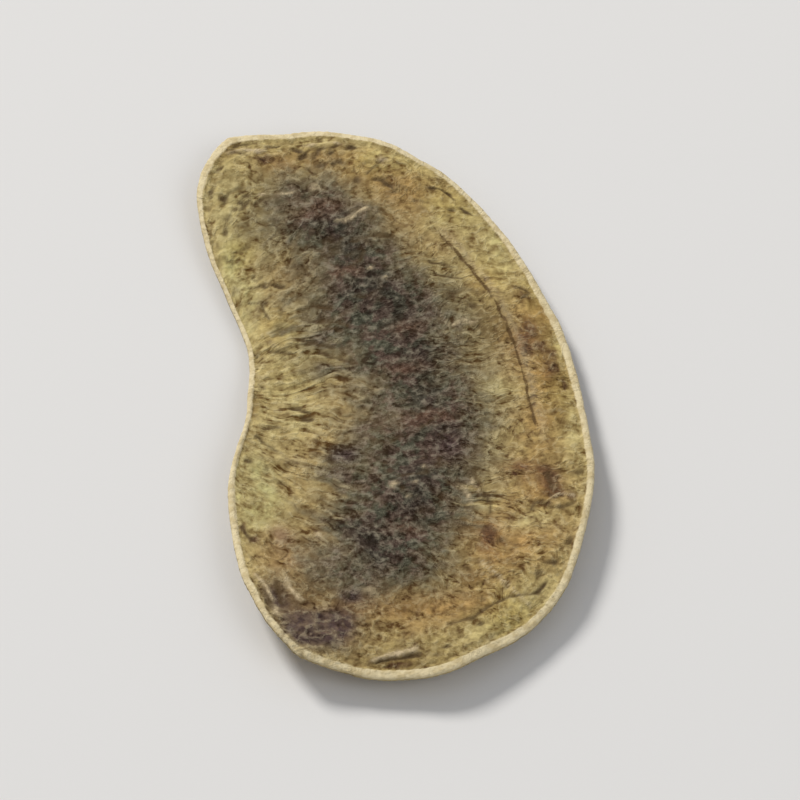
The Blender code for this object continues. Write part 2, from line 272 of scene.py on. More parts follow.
PALE_LINES = [
    ([(-2.7, 13.5), (-1.9, 13.7), (-0.9, 14.4)], 0.15), ([(8.0, -8.5), (8.7, -8.2), (9.3, -8.4)], 0.09),
    ([(-9.5, -13.4), (-8.9, -14.3), (-8.7, -15.4), (-8.6, -16.5)], 0.19),
    ([(-7.7, -13.5), (-7.4, -14.5), (-6.9, -15.1)], 0.15), ([(3.4, 5.0), (4.1, 5.4), (4.8, 5.3)], 0.1),
    ([(2.9, -7.0), (3.2, -7.6), (3.4, -8.3)], 0.12), ([(3.6, -6.6), (4.0, -7.6)], 0.1),
    ([(3.5, -12.7), (4.6, -14.1), (6.3, -16.5)], 0.07),
    ([(-8.9, 19.9), (-7.9, 20.0), (-6.8, 19.6)], 0.18),
]
CREASE = [
    (0.6, 16.4), (1.8, 14.7), (2.7, 13.3), (3.7, 11.6), (5.0, 9.3), (6.1, 6.8), (6.8, 4.2), (7.3, 1.3),
    (7.5, -1.0), (7.7, -3.2), (7.7, -4.6),
]
# A torn lip by the stalk end's rim: its ends, how wide it gapes, how ragged it is and how far it bows.
LIP_START, LIP_END, LIP_OPEN, LIP_RAGGED, LIP_BOW = (-3.4, -20.1), (-0.3, -19.2), 0.26, 0.09, 0.12

# The skin's colours.
COLOURS = {
    "khaki": (0.360, 0.243, 0.088),
    "yellow_khaki": (0.366, 0.268, 0.093),
    "ash": (0.330, 0.262, 0.118),
    "tan": (0.368, 0.208, 0.062),
    "straw": (0.56, 0.448, 0.182),
    "green": (0.49, 0.455, 0.170),
    "rust": (0.20, 0.086, 0.030),
    "dark_rust": (0.115, 0.048, 0.020),
    "mauve": (0.300, 0.178, 0.090),
    "bleached": (0.50, 0.385, 0.150),
    "olive": (0.182, 0.142, 0.074),
    "band_green": (0.059, 0.058, 0.033),
    "band_brown": (0.084, 0.050, 0.033),
    "core": (0.040, 0.029, 0.019),
    "plum": (0.158, 0.080, 0.044),
    "brown": (0.125, 0.058, 0.022),
    "violet": (0.078, 0.045, 0.040),
    "thread": (0.56, 0.48, 0.29),
    "band_thread": (0.28, 0.24, 0.17),
    "band_fleck": (0.27, 0.235, 0.165),
    # paler crests: a painted highlight on the relief
    "crest_highlight": (0.50, 0.41, 0.23),
    # darker hollows: painted shade in the relief's low places
    "hollow": (0.070, 0.050, 0.020),
    "scar": (0.64, 0.51, 0.31),
    "slit": (0.085, 0.050, 0.018),
    "crease": (0.098, 0.052, 0.014),
    "cream": (0.80, 0.68, 0.42),
    "dull_cream": (0.64, 0.52, 0.29),
}
# What the colours are multiplied by where they are yellower or shaded, and in the grain's hollows and crests.
YELLOWER, SHADED = (1.02, 1.0, 0.82), (0.55, 0.46, 0.35)
GRAIN_HOLLOW, GRAIN_CREST = (0.26, 0.17, 0.06), (1.68, 1.80, 2.02)
BUMP_STRENGTH, BUMP_HEIGHT, GLOSS = 0.8, 0.09 * MM, 0.14

# The studio, in metres.
FLOOR_HALF = 3.0
FLOOR_COLOUR, ROOM_COLOUR, ROOM_STRENGTH = (0.80, 0.79, 0.77, 1), (0.95, 0.96, 1.0, 1), 0.35
CAMERA_AZIMUTH, CAMERA_ELEVATION, CAMERA_DISTANCE = math.radians(-4.5), math.radians(50), 0.52
CAMERA_LENS, CAMERA_TARGET = 400, (0, 0, 0.0012)


def smooth_step(share):
    share = np.clip(share, 0, 1)
    return share * share * (3 - 2 * share)


def hill(off, width):
    """1 where off is 0, falling away over a width on both sides."""
    return np.exp(-((off / width) ** 2))


def closed_curve(points, turn):
    """Points on a smooth closed curve through points. turn is 0 at the first, and 1 back at the first."""
    points = np.array(points)
    place = (turn % 1) * len(points)
    first = np.floor(place).astype(int)
    t = (place - first)[:, None]
    before, here, there, after = (points[(first + step) % len(points)] for step in (-1, 0, 1, 2))
    bend = 2 * before - 5 * here + 4 * there - after
    return here + 0.5 * t * (there - before + t * (bend + t * (3 * (here - there) + after - before)))


def noise(u, v, seed):
    """Smooth noise from about -1 to 1 over u and v, with one hill or hollow to a unit."""
    cells = 256
    angles = np.random.default_rng(seed).uniform(0, math.tau, (cells, cells))
    cell_u, cell_v = np.floor(u).astype(int), np.floor(v).astype(int)
    part_u, part_v = u - cell_u, v - cell_v
    fade_u = part_u**3 * (part_u * (6 * part_u - 15) + 10)
    fade_v = part_v**3 * (part_v * (6 * part_v - 15) + 10)
    total = 0
    for step_u in (0, 1):
        for step_v in (0, 1):
            angle = angles[(cell_u + step_u) % cells, (cell_v + step_v) % cells]
            slope = (part_u - step_u) * np.cos(angle) + (part_v - step_v) * np.sin(angle)
            weight = (fade_u if step_u else 1 - fade_u) * (fade_v if step_v else 1 - fade_v)
            total = total + slope * weight
    return 1.6 * total


def ripple(place, seed, row=0.0):
    """The noise along one line."""
    return noise(place, np.full(len(place), row), seed)


def rough(u, v, seed):
    """The noise with a finer one added."""
    return noise(u, v, seed) + 0.55 * noise(2 * u, 2 * v, seed + 1)


def ridges(u, v, seed):
    """Narrow crests on a level ground, from 0 to 1."""
    return np.clip(1 - np.abs(noise(u, v, seed)) * CREST_SHARPNESS, 0, 1) ** 2


def sway(x, y, amount, size, seed):
    """A shift in x and in y that winds from place to place, which makes edges ragged."""
    return amount * noise(x / size, y / size, seed), amount * noise(x / size, y / size, seed + 1)


def along_rim(turn, where):
    """How far along the rim a turn lies from where."""
    return ((turn - where + 0.5) % 1 - 0.5) * RIM_LENGTH


def lay_out(across, along):
    """x, y, the share of the way out to the rim, the distance in from it and the turn along it."""
    disc_x = across * np.sqrt(1 - along**2 / 2)
    disc_y = along * np.sqrt(1 - across**2 / 2)
    angle = np.arctan2(disc_x, disc_y)
    radius = np.hypot(disc_x, disc_y)
    reach = radius * (1 + CLOSER_RINGS * (1 - radius**2))
    turn = (angle - EVEN_STEPS * np.sin(2 * angle)) / math.tau + END_TURN
    rim = closed_curve(OUTLINE, turn) * (HALF_WIDTH, HALF_LENGTH)
    off_scar = along_rim(turn, STALK_TURN)
    out = BEAK_LENGTH * hill(along_rim(turn, BEAK_TURN), BEAK_WIDTH)
    out = out + STALK_LENGTH * hill(off_scar, STALK_WIDTH)
    for height, count, phase in RIM_WAVES:
        out = out + height * np.sin(count * angle + phase)
    from_middle = np.linalg.norm(rim, axis=1)
    chips = sum(height * ripple(turn % 1 * count, seed, 0.5) for height, count, seed in RIM_CHIPS)
    step = STEP_HEIGHT * np.tanh(-off_scar / STEP_SHARPNESS) * hill(off_scar, STEP_REACH)
    waved, chipped = out / from_middle * reach**WAVE_FADE, (chips + step) / from_middle * reach**CHIP_FADE
    rim = rim * (1 + waved + chipped)[:, None]
    square_on = HALF_WIDTH * HALF_LENGTH / np.hypot(HALF_LENGTH * np.sin(angle), HALF_WIDTH * np.cos(angle))
    return rim[:, 0] * reach, rim[:, 1] * reach, reach, (1 - reach) * square_on, turn % 1


def middle_line(y):
    return BOW_X - BOW * (y - BOW_Y) ** 2


def fan(x, y):
    """The angle from 0 at the flower end to pi at the stalk end. Its lines cross the rim squarely."""
    return np.abs(np.arccosh((y + 1j * (x - middle_line(y))) / FOCUS).imag)


def fibre_grid(x, y):
    """How far round the fibres' fan a point is, in millimetres at the hollow side, and how far out."""
    return np.arctan2(y - FAN_Y, x - FAN_X) * NEAR_REACH, np.hypot(x - FAN_X, y - FAN_Y)


def far_side(x):
    """0 by the hollow side and 1 by the full side."""
    return smooth_step((x + 4) / 8)


def fibres(x, y, width, length, seed):
    """Crests that follow the fan, with as many again set in between them towards the full side."""
    around, out = fibre_grid(x, y)
    wander = 0.8 * rough(x / 5, y / 5, seed + 2)
    near = ridges(around / width + wander, out / length, seed)
    far = ridges(FAR_SPREAD * around / width + wander, out / length, seed + 1)
    return near + far_side(x) * (far - near) - 0.25


def cracks(x, y, seed):
    """Short, narrow lines along the fibres."""
    around, out = fibre_grid(x, y)
    around = around * (1 + (FAR_SPREAD - 1) * 0.5)
    broken = smooth_step(noise(x / 1.2, y / 0.9, seed + 1) / 0.35)
    wander = 0.5 * noise(x / 2, y / 2, seed + 2)
    winding = noise(around / CRACK_SPACING + wander, out / CRACK_LENGTH, seed)
    return np.clip(1 - np.abs(winding) * CRACK_SHARPNESS, 0, 1) * broken


def seeds_at(x, y):
    aside = x - middle_line(y)
    rise = 0
    for seed_y in SEED_Y:
        rise = rise + np.exp(-((aside / SEED_ACROSS) ** 4) - np.abs((y - seed_y) / SEED_ALONG) ** 3)
    return rise


def half_thickness(x, y, reach, inset):
    aside = x - middle_line(y)
    belly = smooth_step(1.25 - np.hypot(aside / BELLY_ACROSS, y / BELLY_ALONG))
    rise = BELLY_RISE * belly + BEAD_RISE * hill(inset, BEAD_WIDTH) + SEED_RISE * seeds_at(x, y)
    bent = 1.3 * np.sin(0.26 * x + 0.09 * y)
    rib = 0.5 + 0.5 * np.cos(2 * RIB_COUNT * fan(x, y) + np.sign(x) + bent)
    shown = smooth_step((reach - 0.25) / 0.3) * smooth_step(inset / 1.2)
    return MARGIN_THICKNESS / 2 + rise + RIB_RISE * rib * shown - RIM_THINNING * hill(inset, THINNING_WIDTH)


def lift(x, y, reach):
    """The height of the middle of the dried sheet, above an even level."""
    across, along = (x - LOWEST_X) / HALF_WIDTH, y / HALF_LENGTH
    height = SIDE_LIFT * across**2 + END_LIFT * along**2 + TWIST_LIFT * across * along
    angle = np.arctan2(across, along)
    for size, count, phase in LIFT_WAVES:
        height = height + size * reach**4 * np.sin(count * angle + phase)
    beyond_crease = x - CREASE_X + CREASE_BOW * (y - CREASE_Y) ** 2
    return height - CREASE_DROP * smooth_step(beyond_crease / CREASE_WIDTH)


def distance_to(x, y, path):
    nearest = np.full(len(x), 1e9)
    for (ax, ay), (bx, by) in zip(path, path[1:]):
        length = (bx - ax) ** 2 + (by - ay) ** 2
        share = np.clip(((x - ax) * (bx - ax) + (y - ay) * (by - ay)) / length, 0, 1)
        nearest = np.minimum(nearest, np.hypot(x - ax - share * (bx - ax), y - ay - share * (by - ay)))
    return nearest


def strokes(x, y, lines):
    """Soft lines: 1 on each, falling off over its width."""
    return sum(hill(distance_to(x, y, path), width) for path, width in lines)


def spots(x, y, places):
    """Soft patches: each is (x, y, size across, size along)."""
    total = 0
    for place_x, place_y, size_x, size_y in places:
        total = total + np.exp(-(((x - place_x) / size_x) ** 2) - ((y - place_y) / size_y) ** 2)
    return total


def cover(x, y, places, least=0.0):
    """The share of the patches at a point, from 0 to 1."""
    return np.clip(spots(x, y, places) + least, 0, 1)


def band_inside(x, y):
    """How far a point lies inside the dark band: 0 on its edge, about 1 where it is fully dark."""
    left = (x - np.interp(y, *np.array(BAND_LEFT).T)) / LEFT_SOFTNESS
    right = (np.interp(y, *np.array(BAND_RIGHT).T) - x) / RIGHT_SOFTNESS
    along = np.minimum(BAND_TOP - y, y - BAND_BOTTOM) / END_SOFTNESS
    total = sum(np.exp(-CORNER_SHARPNESS * inside) for inside in (left, right, along))
    return -np.log(total) / CORNER_SHARPNESS + 0.9 * spots(x, y, DARK_SEED)


def pits(x, y, inset, seed):
    """Scattered punctures, all of them near the rim."""
    draw = np.random.default_rng(seed)
    total = np.zeros(len(x))
    for low_x, high_x, low_y, high_y, count in PITTED:
        for _ in range(count):
            place_x, place_y = draw.uniform(low_x, high_x), draw.uniform(low_y, high_y)
            size_x, size_y = draw.uniform(*PIT_ACROSS), draw.uniform(*PIT_ALONG)
            depth = draw.uniform(*PIT_SHARE)
            near = (np.abs(x - place_x) < 3 * size_x) & (np.abs(y - place_y) < 3 * size_y)
            off = ((x[near] - place_x) / size_x) ** 2 + ((y[near] - place_y) / size_y) ** 2
            total[near] += depth * np.exp(-off)
    return np.minimum(total, 1) * smooth_step((PIT_REACH - inset) / PIT_FADE)


def lip(x, y):
    """The torn lip: its raised edge and the slit under it, each from 0 to 1."""
    (ax, ay), (bx, by) = LIP_START, LIP_END
    length = math.hypot(bx - ax, by - ay)
    along = ((x - ax) * (bx - ax) + (y - ay) * (by - ay)) / length
    aside = ((y - ay) * (bx - ax) - (x - ax) * (by - ay)) / length + LIP_RAGGED * noise(x / 0.5, y / 0.5, 91)
    shown = smooth_step(along / 0.5) * smooth_step((length - along) / 0.3)
    aside = aside - LIP_BOW * np.sin(along * 1.6)
    opened = LIP_OPEN * (0.55 + 0.7 * np.clip(along / length, 0, 1))
    opened = opened * (1 + 0.3 * ripple(along / 0.7, 92, 0.5))
    return hill(aside - 1.1 * opened, opened) * shown, hill(aside + 0.45 * opened, 0.7 * opened) * shown


def marks(x, y):
    """The upper face's own lines, pits and specks: their relief in millimetres, their dark share, their pale
    share and how far off the crease a point is."""
    shift_x, shift_y = sway(x, y, 0.12, 0.8, 71)
    waver_x, waver_y = x + shift_x, y + shift_y
    shown = smooth_step((14 - y) / 5 + 0.4) * smooth_step((y + 4.8) / 2.4)
    shown = shown * np.minimum(1, 0.97 + 0.2 * ripple(y / 1.1, 31))
    off_crease = distance_to(waver_x, waver_y, CREASE)
    crease = hill(off_crease, CREASE_LINE) * shown
    ridge = strokes(waver_x - RIDGE_ASIDE, waver_y, [(CREASE, CREASE_LINE)]) * shown
    pit = np.minimum(1.5 * spots(waver_x, waver_y, DARK_PITS), 1)
    lines = strokes(waver_x, waver_y, DARK_LINES)
    shift_x, shift_y = sway(x, y, 0.12, 0.35, 73)
    scars = strokes(waver_x + shift_x, waver_y + shift_y, PALE_LINES) + spots(waver_x, waver_y, PALE_SPECKS)
    edge, slit = lip(x, y)
    relief = RIDGE_RISE * ridge - CREASE_DEPTH * crease - PIT_DEPTH * pit - LINE_DEPTH * lines
    relief = relief + SCAR_RISE * scars + LIP_RISE * edge - SLIT_DEPTH * slit
    # the slit's darkness is both the tear's gap and painted shadow under the lip
    dark = CREASE_DARK * crease + PIT_DARK * pit + LINE_DARK * lines + SLIT_SHADOW_DARK * slit
    # the ridge's paleness is a painted highlight on the crease's lit side
    pale = SCAR_PALE * scars + LIP_PALE * edge + RIDGE_HIGHLIGHT * ridge
    return relief, dark, pale, off_crease + 0.25 * (1 - shown)


def inside_cord(x, y, inset):
    """How far inside the rim's pale cord a point is."""
    around = np.arctan2(x / HALF_WIDTH, y / HALF_LENGTH)
    width = CORD_WIDTH + SIDE_CORD_WIDER * np.sin(around) ** 2
    for change, count, start, seed in CORD_WAVES:
        width = width + change * ripple(around * count + start, seed)
    for angle, spread, change in CORD_PLACES:
        width = width + change * hill(around - angle, spread)
    width = width + STALK_CORD_WIDER * smooth_step((-17.5 - y) / 1.5) * smooth_step((x + 4.0) / 0.6)
    return width - inset


def cord_relief(x, y, inset):
    hollow = HOLLOW_DEPTH * (1 + ripple(np.arctan2(x, y) * 6 + 30, 83))
    cord = CORD_RISE * hill(inset - CORD_MIDDLE, CORD_ROUND)
    return cord - hollow * hill(inset - HOLLOW_MIDDLE, HOLLOW_WIDTH)


def colour_patches(x, y, seed, upper):
    """The masks of the patches. The underside keeps the band's core, has no brown spots or shade, and has the
    other colours in other places."""
    masks = {name: cover(x, y, places) for name, places in PATCHES.items()}
    if upper:
        shift_x, shift_y = sway(x, y, 0.25, 0.5, 75)
        masks["brown"] = cover(x + shift_x, y + shift_y, PATCHES["brown"])
        return masks
    for name in masks:
        if name in ("brown", "shade"):
            masks[name] = np.zeros(len(x))
        elif name != "core":
            masks[name] = np.clip(0.1 + 0.7 * rough(x / 4, y / 4, seed + 70 + len(name)), 0, 1)
    return masks


def grain_places(x, y, seed, upper):
    """Where the material looks its grain up: round the fibres' fan, out along it, and apart for each face."""
    around, out = fibre_grid(x, y)
    around = around + 0.3 * noise(x / 3.0, y / 3.0, seed + 65) + 0.1 * noise(x / 0.9, y / 0.9, seed + 66)
    return np.stack([around, out, np.full(len(x), 0.0 if upper else 50.0)], axis=1)


def finish_face(x, y, inset, upper):
    """The fine relief of one face in millimetres, the masks that colour it, and its places in the grain."""
    seed = UPPER_SEED if upper else UNDER_SEED
    inside = band_inside(x, y)
    margin = smooth_step((0.9 - inside) / 1.6)
    streaked = cover(x, y, STREAKED, 0.15)
    rougher = 1 - CALM_SHARE * cover(x, y, PATCHES["calm"])
    veins = fibres(x, y, *VEIN_SIZES, seed + 10)
    fine = fibres(x, y, *FIBRE_SIZES, seed + 20)
    net = ridges(x / NET_SIZE, y / NET_SIZE, seed + 30) - 0.25
    pebble = rough(x / PEBBLE_SIZE, y / PEBBLE_SIZE, seed + 40)
    swell = rough(x / SWELL_SIZE, y / SWELL_SIZE, seed + 50)
    pit = pits(x, y, inset, seed + 60)
    crack = cracks(x, y, seed + 90) * cover(x, y, CRACKED, 0.15) * rougher
    pleats = fibres(x, y, *PLEAT_SIZES, seed + 80) * cover(x, y, PLEATS)
    relief = VEIN_RISE * veins * (0.3 + 0.7 * margin) + FIBRE_RISE * fine * streaked + NET_RISE * net
    relief = relief * rougher + PEBBLE_RISE * pebble
    relief = relief + PLEAT_RISE * pleats - PIT_DEPTH * pit - CRACK_DEPTH * crack
    dark, pale, off_crease = SMALL_PIT_DARK * pit + CRACK_DARK * crack, np.zeros(len(x)), np.ones(len(x))
    if upper:
        marked, more_dark, pale, off_crease = marks(x, y)
        relief, dark = relief + marked, dark + more_dark
    masks = {
        "band": inside,
        "cord": inside_cord(x, y, inset),
        "wall_unshaded": np.ones(len(x)),
        "crease": np.clip(off_crease, 0, 1),
        "edge": inset,
        "groove": np.minimum(dark, 1.1),
        "pale": np.clip(pale, 0, 1),
        # the fine relief's height, by which crests are painted paler and hollows darker, as painted highlight
        # and painted shade
        "height": np.clip(0.5 + 3.5 * relief, 0, 1),
        "streak": streaked,
        "far": far_side(x),
        **colour_patches(x, y, seed, upper),
    }
    relief = relief * smooth_step(inset / 0.5) + cord_relief(x, y, inset)
    relief = relief + SWELL_RISE * swell * smooth_step(inset / 2)
    return relief, masks, grain_places(x, y, seed, upper)


def pod_points(across, along, level):
    """Places, masks and grain places for points at their levels, from 1 on the upper face to -1 below."""
    x, y, reach, inset, turn = lay_out(across, along)
    half = half_thickness(x, y, reach, inset)
    height = lift(x, y, reach)
    upper_relief, upper_masks, upper_grain = finish_face(x, y, inset, True)
    under_relief, under_masks, under_grain = finish_face(x, y, inset, False)
    is_upper, on_wall = level > 0, np.abs(level) < 1
    relief = np.where(is_upper, upper_relief, -under_relief) * np.abs(level)
    masks = {name: np.where(is_upper, values, under_masks[name]) for name, values in upper_masks.items()}
    # the rim's lower half loses the cord's cream: painted shade on its downward side
    masks["wall_unshaded"] = np.where(on_wall, SHADED_WALL_CREAM + (1 - SHADED_WALL_CREAM) * smooth_step((level + 0.35) / 0.7), 1)
    grain = np.where(is_upper[:, None], upper_grain, under_grain)
    near_rim = smooth_step((reach - 0.9) / 0.1)
    round_off = 1 - np.sqrt(np.maximum(1 - level**2, 0))
    groove = GROOVE_DEPTH * hill(level, GROOVE_WIDTH) * on_wall
    edge_grain = EDGE_GRAIN_DEPTH * noise(turn * EDGE_GRAIN_COUNT, level * 2, 61) * on_wall
    drawn_in = 1 - (round_off * RIM_ROUND + groove + edge_grain) / HALF_WIDTH * near_rim
    foot = (height - half).min() + FLAT_DEPTH
    z = np.maximum(height + level * half + relief - foot, 0)
    return np.stack([x * drawn_in, y * drawn_in, z], axis=1), masks, grain


def pod_mesh():
    """Two fine grids joined by rows round the rim."""
    steps_across = np.linspace(-1, 1, CELLS_ACROSS + 1)
    steps_along = np.linspace(-1, 1, CELLS_ALONG + 1)
    across, along = (grid.ravel() for grid in np.meshgrid(steps_across, steps_along))
    count = len(across)
    index = np.arange(count).reshape(CELLS_ALONG + 1, CELLS_ACROSS + 1)
    ring = np.concatenate([index[0, :-1], index[:-1, -1], index[-1, :0:-1], index[:0:-1, 0]])
    all_across = np.concatenate([across, across] + [across[ring]] * len(RIM_LEVELS))
    all_along = np.concatenate([along, along] + [along[ring]] * len(RIM_LEVELS))
    level = np.concatenate([np.ones(count), -np.ones(count), np.repeat(RIM_LEVELS, len(ring))])
    faces = np.stack([index[:-1, :-1], index[:-1, 1:], index[1:, 1:], index[1:, :-1]], axis=-1).reshape(-1, 4)
    faces = [faces, faces[:, ::-1] + count]
    rows = [ring, *(2 * count + np.arange(len(ring) * len(RIM_LEVELS))).reshape(-1, len(ring)), ring + count]
    for upper, lower in zip(rows, rows[1:]):
        faces.append(np.stack([upper, lower, np.roll(lower, -1), np.roll(upper, -1)], axis=1))
    places, masks, grain = pod_points(all_across, all_along, level)
    places[:, :2] -= (places[:, :2].min(axis=0) + places[:, :2].max(axis=0)) / 2
    mesh = bpy.data.meshes.new("pod_skin")
    mesh.from_pydata((places * MM).tolist(), [], np.concatenate(faces).tolist())
    mesh.update()
    mesh.shade_smooth()
    for name, values in masks.items():
        mesh.attributes.new(name, "FLOAT", "POINT").data.foreach_set("value", values.astype(np.float32))
    for name, values in (("grain", grain), ("flat", places)):
        attribute = mesh.attributes.new(name, "FLOAT_VECTOR", "POINT")
        attribute.data.foreach_set("vector", values.astype(np.float32).ravel())
    return mesh


class Nodes:
    """Short calls for building a material's node tree."""

    def __init__(self, material):
        self.tree = material.node_tree
        self.shader = self.tree.nodes["Principled BSDF"]

    def put(self, value, socket):
        if isinstance(value, bpy.types.NodeSocket):
            self.tree.links.new(value, socket)
        elif isinstance(value, tuple):
            socket.default_value = (*value, 1)
        else:
            socket.default_value = value

    def attribute(self, name, output="Fac"):
        node = self.tree.nodes.new("ShaderNodeAttribute")
        node.attribute_name = name
        return node.outputs[output]

    def join(self, operation, a, b, clamp=False):
        node = self.tree.nodes.new("ShaderNodeMath")
        node.operation = operation
        node.use_clamp = clamp
        self.put(a, node.inputs[0])
        self.put(b, node.inputs[1])
        return node.outputs[0]

    def sum(self, first, *others):
        for other in others:
            first = self.join("ADD", first, other)
        return first

    def product(self, a, b, clamp=True):
        return self.join("MULTIPLY", a, b, clamp)

    def scaled(self, vector, scale):
        node = self.tree.nodes.new("ShaderNodeVectorMath")
        node.operation = "MULTIPLY"
        self.put(vector, node.inputs[0])
        node.inputs[1].default_value = scale
        return node.outputs[0]

    def noise(self, vector, scale, detail, roughness):
        node = self.tree.nodes.new("ShaderNodeTexNoise")
        self.put(vector, node.inputs["Vector"])
        for name, value in (("Scale", scale), ("Detail", detail), ("Roughness", roughness)):
            node.inputs[name].default_value = value
        return node.outputs["Fac"]

    def crest(self, value, width):
        """1 along the winding lines where value passes its middle, falling to 0 beside them."""
        off_middle = self.join("SUBTRACT", value, 0.5)
        return self.span(self.join("ABSOLUTE", off_middle, 0.0), width, 0.0)

    def span(self, value, low, high, to_low=0.0, to_high=1.0):
        """value from low to high, made to run smoothly from to_low to to_high."""
        node = self.tree.nodes.new("ShaderNodeMapRange")
        node.interpolation_type = "SMOOTHSTEP"
        self.put(value, node.inputs["Value"])
        for name, number in (("From Min", low), ("From Max", high), ("To Min", to_low), ("To Max", to_high)):
            node.inputs[name].default_value = number
        return node.outputs["Result"]

    def blend(self, share, a, b):
        """a where share is 0, b where it is 1."""
        node = self.tree.nodes.new("ShaderNodeMix")
        for value, socket in ((share, 0), (a, 2), (b, 3)):
            self.put(value, node.inputs[socket])
        return node.outputs[0]

    def mix(self, share, a, b, blend="MIX"):
        """The same for colours."""
        node = self.tree.nodes.new("ShaderNodeMix")
        node.data_type = "RGBA"
        node.blend_type = blend
        for value, socket in ((share, 0), (a, 6), (b, 7)):
            self.put(value, node.inputs[socket])
        return node.outputs[2]

    def tint(self, share, colour, by):
        """A colour multiplied by another where share is 1."""
        return self.mix(share, colour, self.mix(1.0, colour, by, "MULTIPLY"))


